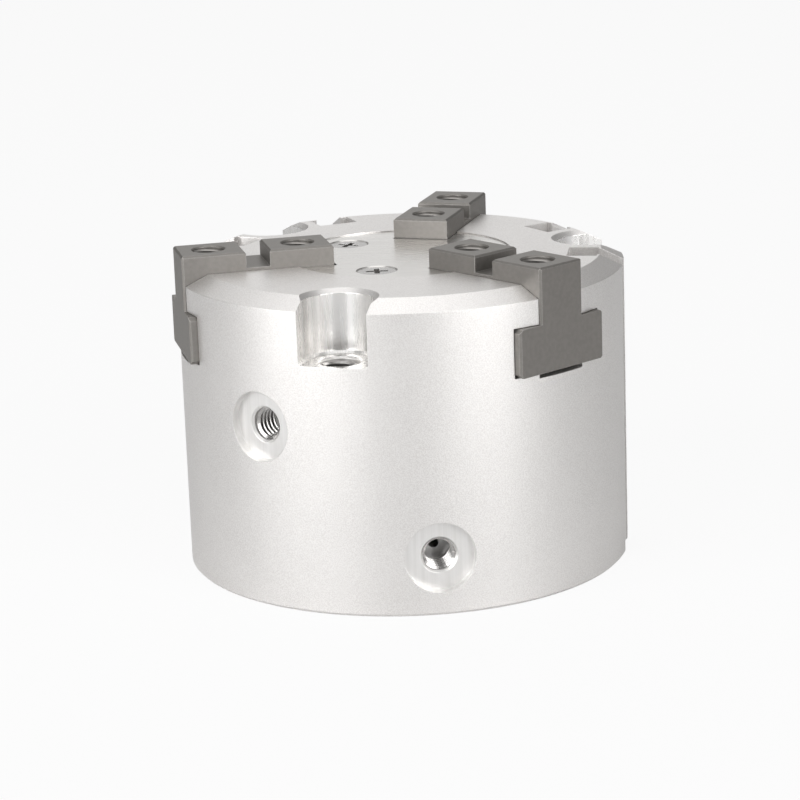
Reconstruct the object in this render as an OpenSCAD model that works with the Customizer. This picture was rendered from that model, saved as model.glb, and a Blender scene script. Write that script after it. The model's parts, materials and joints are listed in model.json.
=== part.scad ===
// Three jaw centric gripper: a round pneumatic body, a double-acting piston with a wedge cam,
// and three T-shaped base jaws that open and close together in radial T-slots.
// Rest position: jaws closed, piston down on its lower stop. Origin: centre of the underside.

/* [Body] */
// Outer diameter of the round body
body_d = 70; // [69.5:0.1:72]
// Radial width of the large chamfer around the top
top_chamfer_w = 3.5; // [2.5:0.1:3.8]
// Height of the large chamfer around the top
top_chamfer_h = 1.7; // [1:0.1:2.2]
// Small chamfer around the underside
base_chamfer = 0.4; // [0.2:0.1:0.8]
// Thickness of the floor between the cylinder and the cam space
web_t = 5.2; // [5:0.1:5.4]
// Chamfer at the mouths of the mounting holes and of the cylinder bore
mouth_chamfer = 0.3; // [0.2:0.1:0.5]

/* [Mounting holes] */
// Distance of the mounting holes' axes in from the outer diameter
mount_inset = 4; // [3.8:0.1:4.2]
// Diameter of the M6 thread in the mounting holes
mount_thread_d = 6; // [5.8:0.1:6.2]
// Width of the screw-head seats
seat_d = 10.8; // [10:0.1:11]
// Depth of the screw-head seats below the top face
seat_depth = 9.8; // [9:0.1:11]
// Chamfer around the rim of the screw-head seats
seat_chamfer = 0.7; // [0.3:0.1:0.8]
// Chamfer in the corner between the wall and the floor of a screw-head seat
seat_corner = 0.4; // [0.2:0.1:0.6]
// Diameter of the two dowel holes in the underside
dowel_d = 4; // [3:0.5:5]
// Depth of the two dowel holes
dowel_depth = 6; // [4:0.5:8]

/* [Air ports] */
// Diameter of the M5 thread in the ports
port_thread_d = 5; // [4.8:0.1:5.2]
// Depth of the ports, measured in from the body's outer diameter
port_depth = 7.8; // [7:0.1:8]
// Chamfer at the mouth of each port
port_chamfer = 0.35; // [0.2:0.05:0.6]
// Diameter of the flat sealing face around each port
port_face_d = 10.8; // [10:0.1:11.4]
// Depth of the flat sealing face
port_face_depth = 1.7; // [1.2:0.1:2]
// Diameter of the air passages into the cylinder
passage_d = 1.6; // [1:0.1:1.8]
// Direction of the upper port
upper_port_angle = -111.6; // [-114:0.1:-109]
// Direction of the lower port
lower_port_angle = -65.1; // [-68:0.1:-62]

/* [Switch grooves] */
// Width of the inside of a switch groove
groove_w = 6.4; // [6.2:0.1:6.6]
// Radial depth of the inside of a switch groove
groove_in = 4.7; // [4.4:0.1:5]
// Width of the outer opening of a switch groove
groove_mouth_w = 4.3; // [4:0.1:4.6]
// Thickness of the wall between a switch groove and the cylinder
groove_wall = 1.4; // [1.3:0.1:1.6]
// Angle from a screw-head seat to the switch grooves beside it
groove_angle = 20.5; // [19.5:0.5:21]
// Height of the entry at the lower end, where the groove is open at its full width
groove_entry_h = 2; // [1:0.1:3]

/* [Jaws] */
// Travel of each jaw from closed to open
stroke = 5; // [3:0.5:5]
// Width of the jaw's stem
stem_w = 8.9; // [8.6:0.1:9.1]
// Width of the jaw's flange
flange_w = 17.7; // [17.5:0.1:18]
// Thickness of the jaw's flange
flange_t = 7.4; // [7.2:0.1:7.6]
// Depth of the flange's upper side below the body's top face
flange_drop = 5.6; // [5.5:0.1:5.8]
// Height of the jaw's top above the body's top face
jaw_rise = 3; // [2.8:0.1:3.6]
// Length of the jaw's top
jaw_len = 23.7; // [23.3:0.1:24]
// How far a closed jaw's outer face stands out of the body
jaw_proud = 0.1; // [0.1:0.1:0.6]
// Width of the key slot across the jaw's top
key_slot_w = 3.7; // [3:0.1:4]
// Depth of the key slot across the jaw's top
key_slot_depth = 2.5; // [2:0.1:2.8]
// Distance between the two tapped holes in a jaw
jaw_hole_pitch = 14; // [13:0.5:15]
// Diameter of the M5 thread in the jaws
jaw_thread_d = 5; // [4.8:0.1:5.2]
// Depth of the tapped holes in the jaws
jaw_tap_depth = 10; // [8:0.5:11]
// Chamfer at the mouths of the tapped holes in the jaws
jaw_mouth_chamfer = 0.2; // [0.1:0.1:0.4]
// Chamfer along the edges of the jaw's stem and of its outer end
jaw_chamfer = 0.3; // [0.2:0.1:0.5]
// Chamfer along the four long edges of the jaw's flange
flange_chamfer = 0.6; // [0.3:0.1:0.8]
// Clearance around the jaw in its T-slot
jaw_gap = 0.08; // [0.04:0.01:0.15]
// Width of the relief groove under each jaw
relief_w = 9.2; // [8:0.1:10]
// Depth of the relief groove under each jaw
relief_depth = 0.7; // [0.4:0.05:0.8]

/* [Wedge cam] */
// Height of the cam
cam_h = 7.3; // [7.1:0.1:7.6]
// Distance from the axis to the wedge face at the flange's underside
wedge_r = 16; // [15.8:0.1:16.2]
// Width of the cam's three arms
cam_arm_w = 12; // [11.5:0.1:12.4]
// Diameter of the cam's hub
cam_hub_d = 16; // [14:0.5:16.5]
// Width of the neck of the jaw's hook
hook_neck_w = 5.2; // [4.8:0.1:5.6]
// Width of the head of the jaw's hook
hook_head_w = 8.6; // [8.2:0.1:8.8]
// Depth of the neck of the jaw's hook, square to the wedge face
hook_neck = 1.5; // [1.3:0.1:1.6]
// Thickness of the head of the jaw's hook, square to the wedge face
hook_head = 1.9; // [1.7:0.1:2]
// Clearance around the hook in the cam
hook_gap = 0.06; // [0.03:0.01:0.1]

/* [Cover plate] */
// Diameter of the cover plate
plate_d = 34.9; // [34.5:0.1:35.5]
// Thickness of the cover plate
plate_t = 1.1; // [1:0.1:1.2]
// Depth of the plate's surface below the body's top face
plate_sink = 0.2; // [0.1:0.1:0.4]
// Distance from the ends of the plate's notches to the closed jaws
plate_notch_gap = 0.4; // [0.3:0.1:0.6]
// Distance of the cover screws' axes in from the edge of the plate
cover_screw_inset = 5.45; // [5:0.05:5.5]
// Head diameter of the cover screws
cover_head_d = 6; // [5.5:0.1:6.2]
// Depth of the cover screws' heads below the plate's surface
cover_head_sink = 0.15; // [0.1:0.05:0.3]
// Length of the cover screws
cover_screw_len = 4.6; // [4:0.1:4.8]

/* [Cylinder] */
// Diameter of the cylinder bore
bore_d = 50; // [49:0.5:50]
// Length of the piston
piston_t = 13.8; // [13.6:0.1:14.2]
// Diameter of the piston rod
rod_d = 12; // [11:0.5:12]
// How far the rubber buffers stand out of the piston
buffer_rise = 1; // [0.8:0.1:1.2]
// Thickness of the cylinder cap
cap_t = 4.7; // [4.5:0.1:5]
// Thickness of the cord of the cap's O-ring
cap_cord_d = 1.6; // [1.5:0.1:1.8]
// Width of the cap's rim below its turned recess
cap_rim = 7; // [6:0.5:9]
// Depth of the turned recess in the cap
cap_recess = 1.5; // [1:0.1:1.8]
// Thickness of the retaining ring
ring_t = 1.8; // [1.5:0.1:2]
// Height of the retaining ring above the underside
ring_z = 1.6; // [1.4:0.1:2]
// Running clearance of the rod in its bush
rod_gap = 0.04; // [0.02:0.01:0.08]
// Running clearance of the seals and the guide band in the cylinder bore
seal_gap = 0.04; // [0.02:0.01:0.08]

/* [Hidden] */
$fn = 96;

// Length by which cuts run past a face and joined shapes reach into each other
eps = 0.5;
// Gap between pieces that sit in or against each other
fit = 0.05;

// Directions of the jaws and of the screw-head seats between them
jaw_angles = [90, 210, 330];
seat_angles = [270, 30, 150];

// Heights, from the underside up: cap, chamber, web, cam space and cover plate
cap_z = ring_z + ring_t;
chamber_z = cap_z + cap_t;
piston_z = chamber_z + buffer_rise;
piston_top = piston_z + piston_t;
chamber_top = piston_top + buffer_rise + stroke;
cam_floor = chamber_top + web_t;
cam_end_gap = 0.2;
cam_z = cam_floor + cam_end_gap;
plate_z = cam_z + cam_h + stroke + cam_end_gap;
body_h = plate_z + plate_t + plate_sink;
flange_top = body_h - flange_drop;
flange_z = flange_top - flange_t;
jaw_top = body_h + jaw_rise;
seat_z = body_h - seat_depth;

// Radii of the mounting holes and of the cover screws
mount_r = body_d / 2 - mount_inset;
cover_screw_r = plate_d / 2 - cover_screw_inset;

// Clearance beside the wedge cam, and the factor of a 45-degree slant such as its wedge faces have
cam_side_gap = 0.3;
slant = 1 / cos(45);

// Jaw: from its inner end to its outer end
jaw_out = body_d / 2 + jaw_proud;
jaw_in = jaw_out - jaw_len;
jaw_mid = jaw_out - jaw_len / 2;

// Passages open just inside the two ends of the chamber
upper_port_z = chamber_top - passage_d / 2 - fit;
lower_port_z = chamber_z + passage_d / 2 + fit;

// Switch groove: from its floor to the back of its lips
groove_floor_r = bore_d / 2 + groove_wall;
groove_lip_r = groove_floor_r + groove_in;

// Screws: the cover screws' shank and cross recess, and the cam screw's shank, head and socket
cover_shank_d = 2.9;
cross_len = 3.4;
cross_w = 0.8;
cross_depth = 0.8;
cross_turn = 20;
cam_shank_d = 4;
cam_head_d = 7;
cam_head_h = 4;
cam_socket = 3;
cam_socket_depth = 2;
cam_screw_grip = 8;
cam_screw_room = 1;

// Piston rings: depths of their grooves and their heights above the piston's underside
piston_gap = 0.3;
seal_h = 2.2;
seal_w = 3.4;
band_h = 2.4;
band_w = 1.4;
magnet_h = 3;
magnet_w = 3.2;
seal_lip = 0.8;
seal_taper = 0.3;
piston_land = (piston_t - 2 * seal_h - band_h - magnet_h) / 5;
lower_seal_z = piston_land;
band_z = lower_seal_z + seal_h + piston_land;
magnet_z = band_z + band_h + piston_land;
upper_seal_z = magnet_z + magnet_h + piston_land;

// Buffers: rings let into the two ends of the piston
buffer_d = 30;
buffer_w = 3;
buffer_sink = 1.2;

// Turned recess in the middle of the piston's underside
piston_recess_d = 18;
piston_recess = 4;

// Rod bush and rod seal, one above the other in a pocket of the web
bush_d = 16;
bush_h = 2.6;
rod_seal_h = 1.8;

// Cap: the groove of its O-ring, which the bore wall squeezes a little
cap_groove_h = 1.3 * cap_cord_d;
cap_groove_w = cap_cord_d + 2 * fit;

// Retaining ring and its groove; ring_opening is the angle between the middles of its ears
ring_groove_depth = 1.3;
ring_w = 3;
ring_opening = 26;
ring_gap_angle = 14;
ring_ear_d = 5.6;
ring_hole_d = 2.2;

// Radius of the jaw's wedge face at a height, measured with the jaw closed
function wedge_at(z) = wedge_r - (z - flange_z);

// Places its children at the angles of a list
module around(angles) {
    for (a = angles) rotate([0, 0, a]) children();
}

// Ring with a plain rectangular section
module ring(outer_d, width, height) {
    difference() {
        cylinder(d = outer_d, h = height);
        translate([0, 0, -eps]) cylinder(d = outer_d - 2 * width, h = height + 2 * eps);
    }
}

// Bar of a given width along +X, from one radius to another and one height to another
module radial_bar(width, r0, r1, z0, z1) {
    translate([r0, -width / 2, z0]) cube([r1 - r0, width, z1 - z0]);
}

// Slanted layer parallel to the wedge face, between two depths measured square to that face
module wedge_layer(width, depth0, depth1, z0, z1) {
    d0 = depth0 * slant;
    d1 = depth1 * slant;
    rotate([90, 0, 0])
        linear_extrude(height = width, center = true)
            polygon([[wedge_at(z0) - d0, z0], [wedge_at(z1) - d0, z1],
                     [wedge_at(z1) - d1, z1], [wedge_at(z0) - d1, z0]]);
}

// Tapped hole with a chamfered mouth, opening upwards at the origin
module tapped_hole(thread_d, depth, mouth) {
    translate([0, 0, -depth]) cylinder(d = thread_d, h = depth + eps);
    translate([0, 0, -mouth]) cylinder(d1 = thread_d, d2 = thread_d + 2 * mouth, h = mouth);
    cylinder(d = thread_d + 2 * mouth, h = eps);
}

// T-slot of one jaw, along +X, with the relief groove under it
module jaw_slot() {
    reach = body_d;
    radial_bar(stem_w + 2 * jaw_gap, 0, reach, flange_z, body_h + eps);
    radial_bar(flange_w + 2 * jaw_gap, 0, reach, flange_z - jaw_gap, flange_top + jaw_gap);
    radial_bar(relief_w, 0, reach, flange_z - relief_depth, flange_z);
}

// Space in which the cam rises and falls: an arm below each jaw and a round middle
module cam_space() {
    arm = cam_arm_w + 2 * cam_side_gap;
    low_r = wedge_at(cam_z) + cam_side_gap;
    high_r = wedge_at(flange_top - stroke) + cam_side_gap;
    around(jaw_angles) {
        radial_bar(arm, 0, low_r, cam_floor, flange_top);
        radial_bar(arm, 0, high_r, cam_floor, plate_z + eps);
    }
    translate([0, 0, cam_floor]) cylinder(d = cam_hub_d + 2 * cam_side_gap, h = plate_z + eps - cam_floor);
}

// Seat for a mounting screw's head, open to the outside, and the tapped hole through its floor
module mounting_hole() {
    mouth_d = mount_thread_d + 2 * mouth_chamfer;
    half = seat_d / 2;
    translate([mount_r, 0, 0]) {
        translate([0, 0, seat_z + seat_corner]) cylinder(d = seat_d, h = seat_depth);
        translate([0, 0, seat_z]) cylinder(r1 = half - seat_corner, r2 = half, h = seat_corner);
        rotate([90, 0, 90]) linear_extrude(height = body_d)
            polygon([[seat_corner - half, seat_z], [half - seat_corner, seat_z], [half, seat_z + seat_corner],
                     [half, body_h + eps], [-half, body_h + eps], [-half, seat_z + seat_corner]]);
        translate([0, 0, body_h - seat_chamfer])
            cylinder(d1 = seat_d, d2 = seat_d + 2 * (seat_chamfer + eps), h = seat_chamfer + eps);
        translate([0, 0, -eps]) cylinder(d = mount_thread_d, h = seat_z + 2 * eps);
        translate([0, 0, seat_z - mouth_chamfer]) cylinder(d1 = mount_thread_d, d2 = mouth_d, h = mouth_chamfer);
        cylinder(d1 = mouth_d, d2 = mount_thread_d, h = mouth_chamfer);
    }
}

// Air port along +X: sealing face, tapped hole and passage into the chamber
module port(z) {
    face_r = body_d / 2 - port_face_depth;
    bottom_r = body_d / 2 - port_depth;
    translate([0, 0, z]) rotate([0, 90, 0]) {
        translate([0, 0, face_r]) cylinder(d = port_face_d, h = body_d);
        translate([0, 0, bottom_r]) cylinder(d = port_thread_d, h = body_d);
        translate([0, 0, face_r - port_chamfer])
            cylinder(d1 = port_thread_d, d2 = port_thread_d + 2 * port_chamfer, h = port_chamfer);
        translate([0, 0, bore_d / 2 - eps]) cylinder(d = passage_d, h = body_d / 2);
    }
}

// Switch groove along +X: pocket, narrower outer opening and full-width lower entry
module switch_groove() {
    radial_bar(groove_w, groove_floor_r, groove_lip_r, -eps, body_h + eps);
    radial_bar(groove_mouth_w, groove_floor_r, body_d, -eps, body_h + eps);
    radial_bar(groove_w, groove_floor_r, body_d, -eps, groove_entry_h);
}

// Outside of the body: a straight cylinder with a large top and a small bottom chamfer
module body_blank() {
    r = body_d / 2;
    rotate_extrude()
        polygon([[0, 0], [r - base_chamfer, 0], [r, base_chamfer], [r, body_h - top_chamfer_h],
                 [r - top_chamfer_w, body_h], [0, body_h]]);
}

// Cylinder bore from below, the retaining ring's groove, and the pocket and hole for the rod
module cylinder_bore() {
    translate([0, 0, -eps]) cylinder(d = bore_d, h = chamber_top + eps);
    cylinder(d1 = bore_d + 2 * mouth_chamfer, d2 = bore_d, h = mouth_chamfer);
    translate([0, 0, ring_z - fit]) cylinder(d = bore_d + 2 * ring_groove_depth, h = ring_t + 2 * fit);
    translate([0, 0, chamber_top - eps]) cylinder(d = bush_d, h = eps + bush_h + rod_seal_h);
    cylinder(d = rod_d + 4 * rod_gap, h = cam_floor + eps);
}

module body() {
    color("gainsboro") difference() {
        body_blank();
        cylinder_bore();
        around(jaw_angles) jaw_slot();
        cam_space();
        translate([0, 0, plate_z]) cylinder(d = plate_d + 2 * fit, h = body_h);
        around(seat_angles) mounting_hole();
        around(seat_angles) translate([cover_screw_r, 0, 0]) cover_screw_hole();
        around([for (a = [30, 150], side = [-1, 1]) a + side * groove_angle]) switch_groove();
        rotate([0, 0, upper_port_angle]) port(upper_port_z);
        rotate([0, 0, lower_port_angle]) port(lower_port_z);
        around([210, 330]) translate([mount_r, 0, -eps]) cylinder(d = dowel_d, h = dowel_depth + eps);
    }
}

// Countersunk head and shank, down from the height of the head's flat top. A gap widens it to a hole,
// and over carries the 90-degree cone on above the head.
module countersunk(top, length, gap, over) {
    cone = (cover_head_d - cover_shank_d) / 2;
    translate([0, 0, top - length]) cylinder(d = cover_shank_d + 2 * gap, h = length);
    translate([0, 0, top - cone])
        cylinder(r1 = cover_shank_d / 2 + gap, r2 = cover_head_d / 2 + gap + over, h = cone + over);
}

// Hole for a cover screw: its countersink widens on up through the plate's surface
module cover_screw_hole() {
    top = plate_z + plate_t - cover_head_sink;
    countersunk(top, cover_screw_len + fit, fit, cover_head_sink + eps);
}

// Round cover with a notch for each jaw, ending just inside the closed jaw
module cover_plate() {
    notch_r = jaw_in - plate_notch_gap;
    color("silver") difference() {
        translate([0, 0, plate_z]) cylinder(d = plate_d, h = plate_t);
        around(jaw_angles) radial_bar(stem_w + 2 * jaw_gap, notch_r, plate_d, plate_z - eps, body_h);
        around(seat_angles) translate([cover_screw_r, 0, 0]) cover_screw_hole();
    }
}

// Countersunk screw with a cross recess
module cover_screw(angle) {
    top = plate_z + plate_t - cover_head_sink;
    color("dimgray") rotate([0, 0, angle]) translate([cover_screw_r, 0, 0]) difference() {
        countersunk(top, cover_screw_len, 0, 0);
        for (turn = [0, 90])
            translate([0, 0, top]) rotate([0, 0, cross_turn + turn])
                cube([cross_len, cross_w, 2 * cross_depth], center = true);
    }
}

module cover_screw_1() { cover_screw(seat_angles[0]); }
module cover_screw_2() { cover_screw(seat_angles[1]); }
module cover_screw_3() { cover_screw(seat_angles[2]); }

// Block along +X whose long edges are chamfered, the lower two by low and the upper two by high
module chamfered_bar(width, r0, r1, z0, z1, low, high) {
    h = width / 2;
    translate([r0, 0, 0]) rotate([90, 0, 90])
        linear_extrude(height = r1 - r0)
            polygon([[low - h, z0], [h - low, z0], [h, z0 + low], [h, z1 - high],
                     [h - high, z1], [high - h, z1], [-h, z1 - high], [-h, z0 + low]]);
}

// Block along +X whose two outer corners are chamfered from bottom to top
module chamfered_end(width, r0, r1, z0, z1, c) {
    h = width / 2;
    translate([0, 0, z0]) linear_extrude(height = z1 - z0)
        polygon([[r0, -h], [r1 - c, -h], [r1, -h + c], [r1, h - c], [r1 - c, h], [r0, h]]);
}

// Base jaw along +X: stem with key slot and tapped holes, flange, and slanted hook at its inner end.
// The outer corners are cut by wider shapes, so that no two side faces coincide, and the stem's
// lower edges end inside the flange.
module base_jaw(angle) {
    slot0 = jaw_mid - key_slot_w / 2;
    slot_z = jaw_top - key_slot_depth;
    color("gray") rotate([0, 0, angle]) difference() {
        union() {
            intersection() {
                chamfered_bar(stem_w, jaw_in, jaw_out + eps, flange_top - 2 * eps, jaw_top, eps, jaw_chamfer);
                chamfered_end(stem_w + 2 * eps, 0, jaw_out, flange_z, jaw_top + eps, jaw_chamfer + eps);
            }
            difference() {
                intersection() {
                    chamfered_bar(flange_w, -eps, jaw_out + eps, flange_z, flange_top,
                                  flange_chamfer, flange_chamfer);
                    chamfered_end(flange_w + 2 * eps, 0, jaw_out, flange_z - eps, flange_top + eps,
                                  jaw_chamfer + eps);
                }
                wedge_layer(flange_w + 2 * eps, 0, 4 * wedge_r, flange_z - eps, flange_top + eps);
            }
            wedge_layer(hook_neck_w, -eps, hook_neck + eps, flange_z, flange_top);
            wedge_layer(hook_head_w, hook_neck, hook_neck + hook_head, flange_z, flange_top);
        }
        radial_bar(stem_w + 2 * eps, slot0, slot0 + key_slot_w, slot_z, jaw_top + eps);
        for (side = [-1, 1])
            translate([jaw_mid + side * jaw_hole_pitch / 2, 0, jaw_top])
                tapped_hole(jaw_thread_d, jaw_tap_depth, jaw_mouth_chamfer);
        for (x = [jaw_in, jaw_out]) end_chamfer(x);
        for (x = [slot0, slot0 + key_slot_w]) end_chamfer(x);
    }
}

// Chamfer across the jaw's top, where it meets an end face or a wall of the key slot
module end_chamfer(x) {
    translate([x, 0, jaw_top]) rotate([0, 45, 0])
        cube([jaw_chamfer * slant, stem_w + 2 * eps, jaw_chamfer * slant], center = true);
}

module jaw_1() { base_jaw(jaw_angles[0]); }
module jaw_2() { base_jaw(jaw_angles[1]); }
module jaw_3() { base_jaw(jaw_angles[2]); }

// Cam with three arms, each with a slanted T-slot that holds a jaw's hook
module wedge_cam() {
    z1 = cam_z + cam_h;
    color("darkgray") difference() {
        union() {
            around(jaw_angles) intersection() {
                radial_bar(cam_arm_w, 0, wedge_at(cam_z), cam_z, z1);
                wedge_layer(cam_arm_w, hook_gap, 4 * wedge_r, cam_z, z1);
            }
            translate([0, 0, cam_z]) intersection() {
                cylinder(d = cam_hub_d, h = cam_h);
                cylinder(r1 = wedge_at(cam_z), r2 = wedge_at(z1), h = cam_h);
            }
        }
        around(jaw_angles) {
            wedge_layer(hook_neck_w + 2 * hook_gap, -eps, hook_neck, cam_z - eps, z1 + eps);
            wedge_layer(hook_head_w + 2 * hook_gap, hook_neck - hook_gap, hook_neck + hook_head + hook_gap,
                        cam_z - eps, z1 + eps);
        }
        translate([0, 0, cam_z - eps]) cylinder(d = cam_shank_d + 2 * fit, h = cam_h + 2 * eps);
        translate([0, 0, z1 - cam_head_h - 2 * fit]) cylinder(d = cam_head_d + 2 * fit, h = cam_head_h + eps);
    }
}

// Socket-head screw that clamps the cam to the piston rod
module cam_screw() {
    head_z = cam_z + cam_h - cam_head_h - fit;
    grip = head_z - cam_z + cam_screw_grip;
    color("dimgray") difference() {
        union() {
            translate([0, 0, head_z]) cylinder(d = cam_head_d, h = cam_head_h);
            translate([0, 0, head_z - grip]) cylinder(d = cam_shank_d, h = grip + eps);
        }
        translate([0, 0, head_z + cam_head_h - cam_socket_depth])
            cylinder(d = cam_socket / cos(30), h = cam_socket_depth + eps, $fn = 6);
    }
}

// Piston with its rod, the ring grooves around it and a buffer groove in each end
module piston() {
    d = bore_d - 2 * piston_gap;
    rod_top = cam_z;
    color("lightgray") difference() {
        translate([0, 0, piston_z]) union() {
            cylinder(d = d, h = piston_t);
            cylinder(d = rod_d, h = rod_top - piston_z);
        }
        translate([0, 0, piston_z]) {
            groove(lower_seal_z, seal_h, seal_w);
            groove(band_z, band_h, band_w);
            groove(magnet_z, magnet_h, magnet_w);
            groove(upper_seal_z, seal_h, seal_w);
            translate([0, 0, -eps]) ring(buffer_d + 2 * fit, buffer_w + 2 * fit, buffer_sink + eps);
            translate([0, 0, piston_t - buffer_sink])
                ring(buffer_d + 2 * fit, buffer_w + 2 * fit, buffer_sink + eps);
            translate([0, 0, -eps]) cylinder(d = piston_recess_d, h = piston_recess + eps);
        }
        translate([0, 0, rod_top - cam_screw_grip - cam_screw_room])
            cylinder(d = cam_shank_d + 2 * fit, h = cam_screw_grip + cam_screw_room + eps);
    }
}

// Groove around the piston for a ring that reaches the cylinder wall
module groove(z, height, width) {
    translate([0, 0, z - fit]) ring(bore_d + 2 * eps, width + eps + fit, height + 2 * fit);
}

// Ring around the piston, drawn at its height above the piston's underside
module piston_ring(z, height, width, gap) {
    translate([0, 0, piston_z + z]) ring(bore_d - 2 * gap, width - gap, height);
}

// Lip seal: a ring whose pressure side is opened by a V-shaped groove
module lip_seal(z, pressure_side) {
    r = bore_d / 2 - seal_gap;
    inner = bore_d / 2 - seal_w;
    flip = pressure_side > 0 ? 0 : 1;
    translate([0, 0, piston_z + z + flip * seal_h]) mirror([0, 0, flip])
        rotate_extrude()
            polygon([[inner, 0], [r - seal_taper, 0], [r, seal_h], [r - seal_lip, seal_h],
                     [(inner + r) / 2, seal_h / 2], [inner + seal_lip, seal_h], [inner, seal_h]]);
}

module upper_piston_seal() { color("darkslategray") lip_seal(upper_seal_z, 1); }
module lower_piston_seal() { color("darkslategray") lip_seal(lower_seal_z, -1); }
module guide_band() { color("saddlebrown") piston_ring(band_z, band_h, band_w, seal_gap); }
module magnet_ring() { color("dimgray") piston_ring(magnet_z, magnet_h, magnet_w, piston_gap); }

// Buffers: the lower one rests on the cap, the upper one stops the piston at the chamber's top
module upper_buffer() {
    color("darkslategray") translate([0, 0, piston_top - buffer_sink + fit])
        ring(buffer_d, buffer_w, buffer_sink + buffer_rise - 2 * fit);
}

module lower_buffer() {
    color("darkslategray") translate([0, 0, chamber_z + fit])
        ring(buffer_d, buffer_w, buffer_sink + buffer_rise - 2 * fit);
}

module rod_bush() {
    color("peru") translate([0, 0, chamber_top])
        ring(bush_d - 2 * fit, (bush_d - rod_d) / 2 - fit - rod_gap, bush_h - fit);
}

module rod_seal() {
    color("darkslategray") translate([0, 0, chamber_top + bush_h])
        ring(bush_d - 2 * fit, (bush_d - rod_d) / 2 - fit - rod_gap, rod_seal_h - fit);
}

// Cap that closes the cylinder, with a turned recess below and a groove for its seal
module cylinder_cap() {
    color("gainsboro") difference() {
        translate([0, 0, cap_z]) cylinder(d = bore_d - 2 * fit, h = cap_t);
        translate([0, 0, cap_z + cap_t / 2 - cap_groove_h / 2])
            ring(bore_d + 2 * eps, cap_groove_w + eps, cap_groove_h);
        translate([0, 0, cap_z - eps]) cylinder(d = bore_d - 2 * cap_rim, h = cap_recess + eps);
    }
}

module cap_seal() {
    color("darkslategray") translate([0, 0, cap_z + cap_t / 2])
        rotate_extrude()
            translate([(bore_d - cap_cord_d) / 2 - seal_gap, 0]) circle(d = cap_cord_d, $fn = 32);
}

// Open spring ring in the groove below the cap, with an ear and a plier hole at each end
module retaining_ring() {
    r = bore_d / 2 + ring_groove_depth - fit;
    ear_r = bore_d / 2 - ring_w;
    color("slategray") translate([0, 0, ring_z]) difference() {
        union() {
            ring(2 * r, ring_w, ring_t);
            for (side = [-1, 1]) rotate([0, 0, 90 + side * ring_opening / 2])
                translate([ear_r, 0, 0]) cylinder(d = ring_ear_d, h = ring_t);
        }
        rotate([0, 0, 90]) translate([0, 0, -eps]) linear_extrude(height = ring_t + 2 * eps)
            polygon([[0, 0], [2 * r, -2 * r * tan(ring_gap_angle / 2)],
                     [2 * r, 2 * r * tan(ring_gap_angle / 2)]]);
        for (side = [-1, 1]) rotate([0, 0, 90 + side * ring_opening / 2])
            translate([ear_r, 0, -eps]) cylinder(d = ring_hole_d, h = ring_t + 2 * eps);
    }
}

body();
cover_plate();
cover_screw_1();
cover_screw_2();
cover_screw_3();
jaw_1();
jaw_2();
jaw_3();
wedge_cam();
cam_screw();
piston();
upper_piston_seal();
lower_piston_seal();
guide_band();
magnet_ring();
upper_buffer();
lower_buffer();
rod_bush();
rod_seal();
cylinder_cap();
cap_seal();
retaining_ring();
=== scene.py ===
import json
from math import cos, pi, radians, sin, sqrt

import bpy
from mathutils import Matrix, Vector


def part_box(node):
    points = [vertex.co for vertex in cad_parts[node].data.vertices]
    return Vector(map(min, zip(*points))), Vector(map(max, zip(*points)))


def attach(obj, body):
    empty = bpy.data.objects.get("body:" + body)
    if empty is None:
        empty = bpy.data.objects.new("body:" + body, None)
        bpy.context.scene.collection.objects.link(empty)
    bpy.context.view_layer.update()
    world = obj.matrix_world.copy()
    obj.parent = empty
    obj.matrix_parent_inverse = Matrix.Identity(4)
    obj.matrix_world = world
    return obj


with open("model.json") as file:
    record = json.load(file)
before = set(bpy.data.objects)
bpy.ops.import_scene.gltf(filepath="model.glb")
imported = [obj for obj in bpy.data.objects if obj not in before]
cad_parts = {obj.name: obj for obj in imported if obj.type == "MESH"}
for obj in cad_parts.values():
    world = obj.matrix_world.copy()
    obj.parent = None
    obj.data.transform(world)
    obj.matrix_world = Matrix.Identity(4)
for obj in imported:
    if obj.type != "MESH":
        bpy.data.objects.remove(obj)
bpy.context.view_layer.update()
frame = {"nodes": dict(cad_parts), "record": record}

nodes = frame["nodes"]


# Camera: a long lens on a tripod, looking slightly down at the gripper and rolled by two degrees,
# as a hand-set tripod head is.
camera_azimuth = radians(17.44)
camera_elevation = radians(15.26)
camera_distance = 0.4467
camera_roll = radians(-2.03)
pivot_height = 0.022
aim_height = 0.02417
aim_offset = -0.00078

turn = Matrix.Rotation(camera_azimuth, 3, "Z")
eye = turn @ Vector((0, -camera_distance * cos(camera_elevation),
                     pivot_height + camera_distance * sin(camera_elevation)))
aim = turn @ Vector((aim_offset, 0, aim_height))
bpy.ops.object.camera_add(location=eye)
camera = bpy.context.object
camera.name = "camera"
looking = (aim - eye).to_track_quat("-Z", "Y").to_matrix()
camera.rotation_euler = (looking @ Matrix.Rotation(camera_roll, 3, "Z")).to_euler()
camera.data.lens = 126.3
camera.data.sensor_width = 36
camera.data.clip_start = 0.05
camera.data.clip_end = 20
bpy.context.scene.camera = camera
bpy.context.scene.view_settings.view_transform = "Standard"


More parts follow.
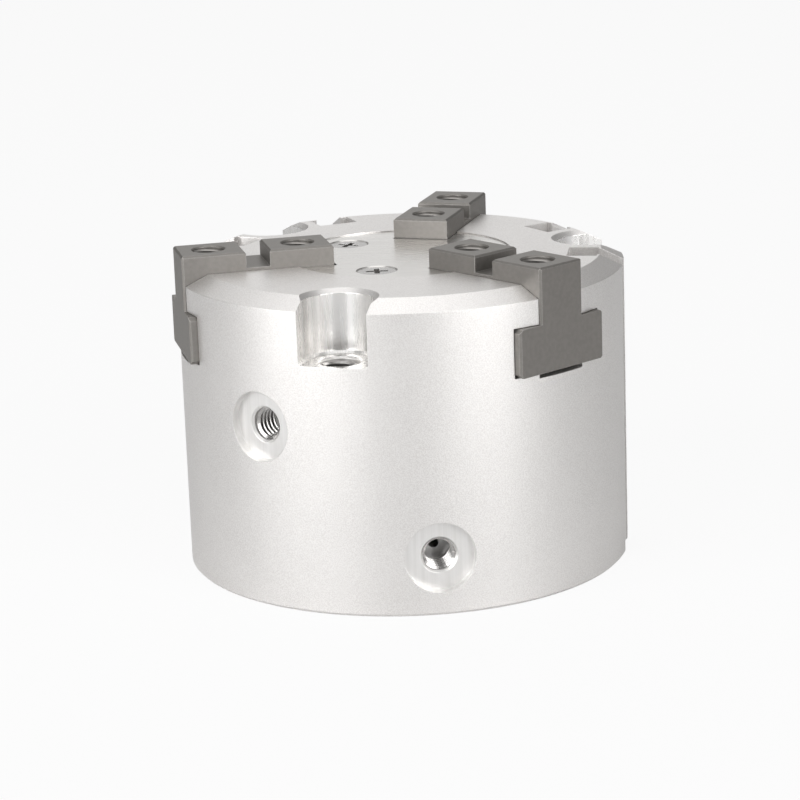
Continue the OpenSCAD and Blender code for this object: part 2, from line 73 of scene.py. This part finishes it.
# Finish: a material that is written as an expression. A Value is one socket of it, and arithmetic
# on a Value adds the Math nodes; node() adds any other node.
class Value:
    def __init__(self, finish, socket):
        self.finish = finish
        self.socket = socket

    def math(self, operation, *others):
        inputs = dict(enumerate((self,) + others))
        return self.finish.node("ShaderNodeMath", {"operation": operation}, inputs)

    def reflected(self, operation, other):
        return self.finish.node("ShaderNodeMath", {"operation": operation}, {0: other, 1: self})

    def __add__(self, other):
        return self.math("ADD", other)

    def __sub__(self, other):
        return self.math("SUBTRACT", other)

    def __mul__(self, other):
        return self.math("MULTIPLY", other)

    def __gt__(self, other):
        return self.math("GREATER_THAN", other)

    def __lt__(self, other):
        return self.math("LESS_THAN", other)

    def __radd__(self, other):
        return self.reflected("ADD", other)

    def __rsub__(self, other):
        return self.reflected("SUBTRACT", other)

    def __rmul__(self, other):
        return self.reflected("MULTIPLY", other)

    def ramp(self, low, high):
        """0 at low, 1 at high and beyond, straight between them."""
        return self.finish.node("ShaderNodeMapRange", {"clamp": True},
                                {"Value": self, "From Min": low, "From Max": high})

    def smooth(self, low, high):
        """Like ramp, with soft ends."""
        return self.finish.node("ShaderNodeMapRange", {"interpolation_type": "SMOOTHSTEP"},
                                {"Value": self, "From Min": low, "From Max": high})


class Finish:
    def __init__(self, name, **constants):
        self.material = bpy.data.materials.new(name)
        self.material.use_nodes = True
        self.tree = self.material.node_tree
        self.shader = self.tree.nodes["Principled BSDF"]
        for socket, value in constants.items():
            self.set(self.shader.inputs[socket.replace("_", " ").title()], value)

    def set(self, socket, value):
        if isinstance(value, Value):
            self.tree.links.new(value.socket, socket)
        elif isinstance(value, tuple) and socket.type == "RGBA":
            socket.default_value = (*value, 1)
        else:
            socket.default_value = value

    def node(self, kind, settings=None, inputs=None, output=0):
        node = self.tree.nodes.new(kind)
        for name, value in (settings or {}).items():
            setattr(node, name, value)
        for name, value in (inputs or {}).items():
            self.set(node.inputs[name], value)
        return Value(self, node.outputs[output])

    def place(self, output="Object"):
        return self.node("ShaderNodeTexCoord", output=output)

    def axes(self):
        """The three Object coordinates, in metres, as Values."""
        parts = self.node("ShaderNodeSeparateXYZ", inputs={"Vector": self.place()})
        return [Value(self, parts.socket.node.outputs[axis]) for axis in "XYZ"]

    def noise(self, scale, detail=2.0, stretch=(1, 1, 1), turned=0.0):
        """Noise from 0 to 1; scale is in lumps per metre, and stretch makes them longer along an axis."""
        spread = self.node("ShaderNodeMapping", {"vector_type": "TEXTURE"},
                           {"Vector": self.place(), "Rotation": (0, 0, turned), "Scale": stretch})
        return self.node("ShaderNodeTexNoise", {}, {"Vector": spread, "Scale": scale, "Detail": detail})

    def mix(self, factor, one, two):
        """Colour one where factor is 0, colour two where it is 1."""
        node = self.tree.nodes.new("ShaderNodeMix")
        node.data_type = "RGBA"
        for index, value in ((0, factor), (6, one), (7, two)):
            self.set(node.inputs[index], value)
        return Value(self, node.outputs[2])

    def bump(self, height, depth, under=None):
        """Normal raised by height, which is 0 to 1, times depth in metres."""
        inputs = {"Height": height, "Distance": depth, "Strength": 1.0}
        if under:
            inputs["Normal"] = under
        return self.node("ShaderNodeBump", {}, inputs)

    def rounded(self, radius):
        """Normal that turns smoothly over each edge, as on an edge broken by hand."""
        return self.node("ShaderNodeBevel", {"samples": 6}, {"Radius": radius})

    def edges(self, radius):
        """1 along edges that stand out or go in, 0 on flat ground."""
        flat = self.node("ShaderNodeNewGeometry", output="Normal")
        dot = self.node("ShaderNodeVectorMath", {"operation": "DOT_PRODUCT"},
                        {0: self.rounded(radius), 1: flat}, output="Value")
        return (1 - dot).ramp(0.0, 0.25)

    def finish(self, **sockets):
        for socket, value in sockets.items():
            self.set(self.shader.inputs[socket.replace("_", " ").title()], value)
        return self.material


def dress(material, *names):
    """Gives CAD nodes their material."""
    for name in names:
        for slot in nodes[name].material_slots:
            slot.material = material


# Stage: a white floor under a white sky, as in a product photographer's tent. The camera sees them
# nearly white, bright metal mirrors a dim sky, and the lamps lay a soft shadow on the floor.
floor_size = 3.0
floor_drop = 0.00002
stage_white = (0.72, 0.72, 0.72)
camera_white = 0.92
mirrored_white = 0.10

bpy.ops.object.select_all(action="DESELECT")
bpy.ops.mesh.primitive_plane_add(size=floor_size, location=(0, 0, -floor_drop))
floor = bpy.context.object
floor.name = "floor"
paper = Finish("paper", base_color=stage_white, roughness=0.9)
path = paper.node("ShaderNodeLightPath")
seen = [Value(paper, path.socket.node.outputs[name]) for name in ("Is Camera Ray", "Is Glossy Ray")]
white = paper.node("ShaderNodeEmission", {}, {"Color": (1, 1, 1), "Strength": 1.0})
paper.shader.inputs["Specular IOR Level"].default_value = 0.1
shaded = Value(paper, paper.shader.outputs["BSDF"])
share = camera_white * seen[0] + mirrored_white * seen[1]
sheet = paper.node("ShaderNodeMixShader", {}, {"Fac": share, 1: shaded, 2: white})
paper.tree.links.new(sheet.socket, paper.tree.nodes["Material Output"].inputs["Surface"])
floor.data.materials.append(paper.material)

ambient_strength = 0.02
mirrored_strength = 0.20
world = bpy.data.worlds.new("tent")
bpy.context.scene.world = world
world.use_nodes = True
sky = world.node_tree
ambient = sky.nodes["Background"]
ambient.inputs["Color"].default_value = (1, 0.99, 0.98, 1)
backdrop = sky.nodes.new("ShaderNodeBackground")
backdrop.inputs["Color"].default_value = (1, 1, 1, 1)
backdrop.inputs["Strength"].default_value = 1.0
ray = sky.nodes.new("ShaderNodeLightPath")
chosen = sky.nodes.new("ShaderNodeMixShader")
mirrored = sky.nodes.new("ShaderNodeMath")
mirrored.operation = "MULTIPLY_ADD"
mirrored.inputs[1].default_value = mirrored_strength
mirrored.inputs[2].default_value = ambient_strength
sky.links.new(ray.outputs["Is Glossy Ray"], mirrored.inputs[0])
sky.links.new(mirrored.outputs["Value"], ambient.inputs["Strength"])
sky.links.new(ray.outputs["Is Camera Ray"], chosen.inputs["Fac"])
sky.links.new(ambient.outputs["Background"], chosen.inputs[1])
sky.links.new(backdrop.outputs["Background"], chosen.inputs[2])
sky.links.new(chosen.outputs["Shader"], sky.nodes["World Output"].inputs["Surface"])


# Lamps: tall soft boxes in front, two on each side of the camera, which the round wall shows as
# bright bands; one overhead, and four behind that the chamfer, top face and cover plate mirror.
def soft_box(name, azimuth, elevation, distance, width, height, brightness):
    """Area lamp aimed at the gripper; azimuth is from the camera, to the right; brightness 1 is white."""
    angle = camera_azimuth + radians(azimuth)
    towards = Vector((sin(angle) * cos(radians(elevation)), -cos(angle) * cos(radians(elevation)),
                      sin(radians(elevation))))
    bpy.ops.object.light_add(type="AREA", location=towards * distance + Vector((0, 0, pivot_height)))
    lamp = bpy.context.object
    lamp.name = name
    lamp.rotation_euler = (-towards).to_track_quat("-Z", "Y").to_euler()
    lamp.data.shape = "RECTANGLE"
    lamp.data.size = width
    lamp.data.size_y = height
    lamp.data.energy = brightness * pi * width * height


soft_box("left_inner_box", -36, 12, 0.7, 0.32, 0.9, 3.4)
soft_box("left_outer_box", -62, 12, 0.7, 0.20, 0.9, 4.95)
soft_box("right_inner_box", 28, 12, 0.7, 0.20, 0.9, 3.2)
soft_box("right_outer_box", 48, 12, 0.7, 0.20, 0.9, 4.8)
soft_box("overhead_box", 0, 88, 0.8, 0.8, 0.8, 0.9)
soft_box("rear_low_box", 180, 20, 0.9, 0.45, 0.5, 0.55)
soft_box("rear_high_box", 180, 50, 0.9, 0.60, 0.5, 0.62)
soft_box("rear_left_box", -145, 45, 0.9, 0.50, 0.5, 0.4)
soft_box("rear_top_box", 180, 72, 0.9, 0.60, 0.4, 0.4)


# Body: turned from aluminium bar and bead-blasted all over, switch grooves included, then clear
# anodised. The screw-head seats and the air ports are milled afterwards and stay bright, with fine
# marks down their walls.
body_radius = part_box("body")[1].x
body_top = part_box("body")[1].z
chamfer_width, chamfer_height = 0.0035, 0.0017
skin = 0.00006
seat_angles = (-90, 30, 150)
mounting_circle = 0.031
seat_reach, seat_floor = 0.00542, 0.0382
port_reach, port_back = 0.00545, 0.026
ports = [mount for mount in frame["record"]["mounts"] if mount["name"].endswith("_port")]

blasted = Finish("blasted_aluminium", metallic=0.9)
x, y, z = blasted.axes()
out = (x * x + y * y).math("SQRT")
cone = out + (z - (body_top - chamfer_height)) * (chamfer_width / chamfer_height)
inside = (cone < body_radius - skin) * (z < body_top - skin / 2) * (out < body_radius - skin)
seats = 0
for angle in seat_angles:
    forward = x * cos(radians(angle)) + y * sin(radians(angle))
    along = (forward - mounting_circle).math("MINIMUM", 0)
    across = y * cos(radians(angle)) - x * sin(radians(angle))
    ahead = forward > 0
    seats = seats + ((along * along + across * across).math("SQRT") < seat_reach) * ahead * (z > seat_floor)
facings = 0
for port in ports:
    out_x, out_y = port["axis"][0], port["axis"][1]
    along = x * out_x + y * out_y
    across = y * out_x - x * out_y
    rise = z - port["pos_m"][2]
    facings = facings + (along > port_back) * ((across * across + rise * rise).math("SQRT") < port_reach)
seats = seats * inside
facings = facings * inside
milled = seats + facings
grain = blasted.noise(6000, detail=1.0)
cloud = blasted.noise(90, detail=3.0)
marks = blasted.noise(1500, detail=2.0, stretch=(1, 1, 40))
tone = blasted.mix(cloud.smooth(0.3, 0.7), (0.77, 0.75, 0.735), (0.80, 0.78, 0.765))
speckled = blasted.mix(grain.ramp(0.38, 0.62), tone, (0.89, 0.875, 0.86))
bright = blasted.mix(marks.ramp(0.3, 0.7), (0.78, 0.77, 0.755), (0.88, 0.87, 0.86))
height = grain * (1 - milled) + marks * 0.12 * milled
blasted.finish(base_color=blasted.mix(milled, speckled, bright),
               roughness=(0.41 + 0.04 * (cloud - 0.5)) * (1 - seats) + (0.23 + 0.08 * marks) * seats,
               normal=blasted.bump(height, 0.000016, under=blasted.rounded(0.00012)))
dress(blasted.material, "body")


# Base jaws: hardened tool steel, ground on all sides, with edges painted lighter, partly as wear and partly
# as a painted highlight.
# Each slides in its T-slot and takes a finger on the two tapped holes and the key slot between.
jaw_steel = Finish("jaw_steel", metallic=0.8)
mottle = jaw_steel.noise(1500, detail=3.0)
edge_wear_and_highlight = jaw_steel.edges(0.0002)
ground = jaw_steel.mix(mottle.smooth(0.3, 0.7), (0.235, 0.223, 0.209), (0.258, 0.245, 0.230))
# Lighter colour along every edge, convex and concave: partly wear, partly a painted highlight.
jaw_steel.finish(base_color=jaw_steel.mix(edge_wear_and_highlight * 0.6, ground, (0.60, 0.59, 0.57)),
                 roughness=0.47 + 0.06 * (mottle - 0.5),
                 normal=jaw_steel.bump(mottle, 0.000003, under=jaw_steel.rounded(0.00015)))
dress(jaw_steel.material, "jaw_1", "jaw_2", "jaw_3")


# Cover plate: stainless sheet over the wedge cam, bright, with fine scratches from the polishing belt.
plate_steel = Finish("plate_steel", metallic=1.0)
scratch = plate_steel.noise(2600, detail=3.0, stretch=(30, 1, 30), turned=camera_azimuth)
smear = plate_steel.noise(140, detail=3.0, stretch=(4, 1, 4), turned=camera_azimuth)
brushed = plate_steel.mix(scratch.ramp(0.35, 0.65), (0.80, 0.785, 0.765), (0.87, 0.855, 0.83))
plate_steel.finish(base_color=brushed,
                   roughness=0.20 + 0.08 * scratch + 0.08 * smear,
                   normal=plate_steel.bump(scratch, 0.0000005, under=plate_steel.rounded(0.0001)))
dress(plate_steel.material, "cover_plate")


# Cover screws: small countersunk screws of bright steel that hold the plate down, with a cross recess that
# carries painted shade.
screw_steel = Finish("screw_steel", metallic=1.0)
turning = screw_steel.noise(2400, detail=2.0)
# Painted shade: wherever a screw lies more than 0.3 mm under the body top, down in its cross recess, it is
# coloured darker.
painted_recess_shade = (screw_steel.axes()[2] < body_top - 0.0003)
screw_steel.finish(base_color=screw_steel.mix(painted_recess_shade, (0.82, 0.81, 0.80), (0.55, 0.54, 0.53)),
                   roughness=0.18 + 0.16 * turning,
                   normal=screw_steel.bump(turning, 0.000002, under=screw_steel.rounded(0.00012)))
dress(screw_steel.material, "cover_screw_1", "cover_screw_2", "cover_screw_3")


# Threads: cut with a tap into the jaws' finger holes, the air ports and the mounting holes. The
# holes are drawn at the full diameter, and each thread's ridge stands in from the wall.
ridge_base = 0.00005
entry = 0.0001
fine_pitch, coarse_pitch = 0.0008, 0.001
ridge_depth = 0.5413    # of the pitch, as on a metric thread
ridge_root = 0.875
steps_per_turn = 36


def tapped_thread(name, hole_radius, pitch, length):
    """Ridge of a metric thread about Z that ends a little below the mouth, which is at the origin."""
    base = hole_radius + ridge_base
    side = ridge_root * pitch + 2 * ridge_base / sqrt(3)
    turns = int((length - entry - side) / pitch)
    bpy.ops.object.select_all(action="DESELECT")
    bpy.ops.mesh.primitive_circle_add(vertices=3, radius=side / sqrt(3), fill_type="NGON",
                                      location=(base - side / sqrt(12), 0, -entry - side / 2 - turns * pitch),
                                      rotation=(pi / 2, -pi / 2, 0))
    ridge = bpy.context.object
    ridge.name = name
    bpy.ops.object.transform_apply(location=True, rotation=True, scale=True)
    bpy.ops.object.mode_set(mode="EDIT")
    bpy.ops.mesh.select_all(action="SELECT")
    bpy.ops.mesh.bisect(plane_co=(hole_radius - ridge_depth * pitch, 0, 0), plane_no=(1, 0, 0),
                        clear_inner=True)
    bpy.ops.mesh.select_all(action="SELECT")
    bpy.ops.mesh.delete(type="ONLY_FACE")
    bpy.ops.object.mode_set(mode="OBJECT")
    screw = ridge.modifiers.new("turns", "SCREW")
    screw.screw_offset = pitch
    screw.iterations = turns
    screw.steps = screw.render_steps = steps_per_turn
    screw.use_smooth_shade = False
    bpy.ops.object.modifier_apply(modifier=screw.name)
    bpy.ops.object.mode_set(mode="EDIT")
    bpy.ops.mesh.select_all(action="SELECT")
    bpy.ops.mesh.fill_holes(sides=4)
    bpy.ops.mesh.normals_make_consistent(inside=False)
    bpy.ops.object.mode_set(mode="OBJECT")
    return ridge


def set_thread(pattern, name, mouth, outwards, material, body):
    """Copy of a thread with its own mesh, its mouth end at mouth and its axis pointing outwards."""
    piece = pattern.copy()
    piece.data = pattern.data.copy()
    piece.name = name
    bpy.context.collection.objects.link(piece)
    bpy.ops.object.select_all(action="DESELECT")
    bpy.context.view_layer.objects.active = piece
    piece.select_set(True)
    piece.rotation_euler = Vector(outwards).to_track_quat("Z", "Y").to_euler()
    piece.location = mouth
    bpy.ops.object.transform_apply(location=True, rotation=True, scale=True)
    piece.data.materials.clear()
    piece.data.materials.append(material)
    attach(piece, body)


small_hole_radius, mounting_hole_radius = 0.0025, 0.003
finger_thread_length, port_thread_length = 0.0096, 0.0055
finger_thread = tapped_thread("finger_thread", small_hole_radius, fine_pitch, finger_thread_length)
port_thread = tapped_thread("port_thread", small_hole_radius, fine_pitch, port_thread_length)
cut_steel = Finish("cut_steel", metallic=0.9)
tap_marks = cut_steel.noise(3000, detail=2.0)
cut_steel.finish(base_color=cut_steel.mix(tap_marks.ramp(0.3, 0.7), (0.30, 0.285, 0.27), (0.36, 0.345, 0.33)),
                 roughness=0.26 + 0.1 * tap_marks)
cut_aluminium = Finish("cut_aluminium", metallic=0.9)
tap_marks = cut_aluminium.noise(3000, detail=2.0)
cut_bright = cut_aluminium.mix(tap_marks.ramp(0.3, 0.7), (0.42, 0.41, 0.40), (0.56, 0.55, 0.54))
cut_aluminium.finish(base_color=cut_bright,
                     roughness=0.16 + 0.08 * tap_marks)
for mount in frame["record"]["mounts"]:
    if mount["kind"] == "threaded_hole":
        in_jaw = mount["name"].startswith("jaw")
        pattern = finger_thread if in_jaw else port_thread
        number = mount["name"].split("_")[1]
        set_thread(pattern, mount["name"] + "_thread", mount["pos_m"], mount["axis"],
                   cut_steel.material if in_jaw else cut_aluminium.material,
                   "finger_" + number if in_jaw else "housing")

mounting_mouth = 0.0380
mounting_clearance = 0.0003
mounting_thread = tapped_thread("mounting_thread", mounting_hole_radius, coarse_pitch,
                                mounting_mouth - mounting_clearance)
for number, angle in enumerate(seat_angles, start=1):
    mouth = (mounting_circle * cos(radians(angle)), mounting_circle * sin(radians(angle)), mounting_mouth)
    set_thread(mounting_thread, f"mounting_{number}_thread", mouth, (0, 0, 1), cut_aluminium.material,
               "housing")
for pattern in (finger_thread, port_thread, mounting_thread):
    bpy.data.objects.remove(pattern)


# Wedge cam and its screw: case-hardened steel with ground hooks, held on the piston rod by a
# blackened socket screw.
cam_steel = Finish("cam_steel", metallic=0.9)
wear = cam_steel.noise(700, detail=3.0)
cam_steel.finish(base_color=cam_steel.mix(wear.smooth(0.3, 0.7), (0.34, 0.33, 0.32), (0.42, 0.41, 0.40)),
                 roughness=0.28 + 0.1 * wear)
dress(cam_steel.material, "wedge_cam")
black_oxide = Finish("black_oxide", metallic=0.7)
oil = black_oxide.noise(600, detail=3.0)
oiled = black_oxide.mix(oil.smooth(0.3, 0.7), (0.045, 0.045, 0.05), (0.065, 0.065, 0.07))
black_oxide.finish(base_color=oiled,
                   roughness=0.36 + 0.1 * oil)
dress(black_oxide.material, "cam_screw")


# Piston: turned aluminium, hard anodised to a dull grey, with its rod in one piece.
hard_coat = Finish("hard_coat", metallic=0.6)
rings = hard_coat.noise(2600, detail=2.0, stretch=(40, 40, 1))
hard_coat.finish(base_color=hard_coat.mix(rings.smooth(0.3, 0.7), (0.24, 0.24, 0.23), (0.29, 0.29, 0.28)),
                 roughness=0.38 + 0.12 * rings)
dress(hard_coat.material, "piston")


# Seals and buffers: black nitrile rubber lip seals and O-ring, and elastic end buffers.
rubber = Finish("rubber")
bloom = rubber.noise(900, detail=4.0)
rubber.finish(base_color=rubber.mix(bloom.smooth(0.35, 0.7), (0.018, 0.018, 0.019), (0.032, 0.032, 0.034)),
              roughness=0.50 + 0.14 * bloom)
dress(rubber.material, "upper_piston_seal", "lower_piston_seal", "rod_seal", "cap_seal", "upper_buffer",
      "lower_buffer")


# Guide band and magnet: a split band of bronze-filled plastic, and a ring of plastic-bonded magnet
# that the switches in the grooves sense.
band_plastic = Finish("band_plastic")
fill = band_plastic.noise(2000, detail=3.0)
band_plastic.finish(base_color=band_plastic.mix(fill.ramp(0.3, 0.7), (0.20, 0.11, 0.05), (0.28, 0.16, 0.08)),
                    roughness=0.45 + 0.1 * fill)
dress(band_plastic.material, "guide_band")
magnet = Finish("bonded_magnet", metallic=0.3)
powder = magnet.noise(2600, detail=3.0)
magnet.finish(base_color=magnet.mix(powder.ramp(0.3, 0.7), (0.060, 0.058, 0.056), (0.095, 0.093, 0.090)),
              roughness=0.46 + 0.1 * powder)
dress(magnet.material, "magnet_ring")


# Rod bush: sintered bronze, pressed into the body around the piston rod.
bronze = Finish("sintered_bronze", metallic=1.0)
pores = bronze.noise(3000, detail=3.0)
bronze.finish(base_color=bronze.mix(pores.ramp(0.3, 0.7), (0.46, 0.28, 0.13), (0.60, 0.39, 0.20)),
              roughness=0.30 + 0.14 * pores)
dress(bronze.material, "rod_bush")


# Cylinder cap: turned aluminium disc that closes the bore from below, clear anodised, with the
# fine rings of the lathe tool on its faces.
cap_finish = Finish("turned_aluminium", metallic=0.9)
x, y, z = cap_finish.axes()
lathe = cap_finish.node("ShaderNodeTexNoise", {"noise_dimensions": "1D"},
                        {"W": (x * x + y * y).math("SQRT"), "Scale": 5200, "Detail": 1.0})
cap_finish.finish(base_color=cap_finish.mix(lathe.ramp(0.3, 0.7), (0.74, 0.73, 0.715), (0.84, 0.83, 0.81)),
                  roughness=0.24 + 0.12 * lathe,
                  normal=cap_finish.bump(lathe, 0.000004, under=cap_finish.rounded(0.00015)))
dress(cap_finish.material, "cylinder_cap")


# Retaining ring: spring steel, phosphated dark grey, snapped into its groove below the cap.
spring_steel = Finish("spring_steel", metallic=0.7)
phosphate = spring_steel.noise(1800, detail=4.0)
coated = spring_steel.mix(phosphate.ramp(0.3, 0.7), (0.075, 0.075, 0.078), (0.12, 0.12, 0.122))
spring_steel.finish(base_color=coated,
                    roughness=0.42 + 0.12 * phosphate,
                    normal=spring_steel.bump(phosphate, 0.000004, under=spring_steel.rounded(0.0001)))
dress(spring_steel.material, "retaining_ring")
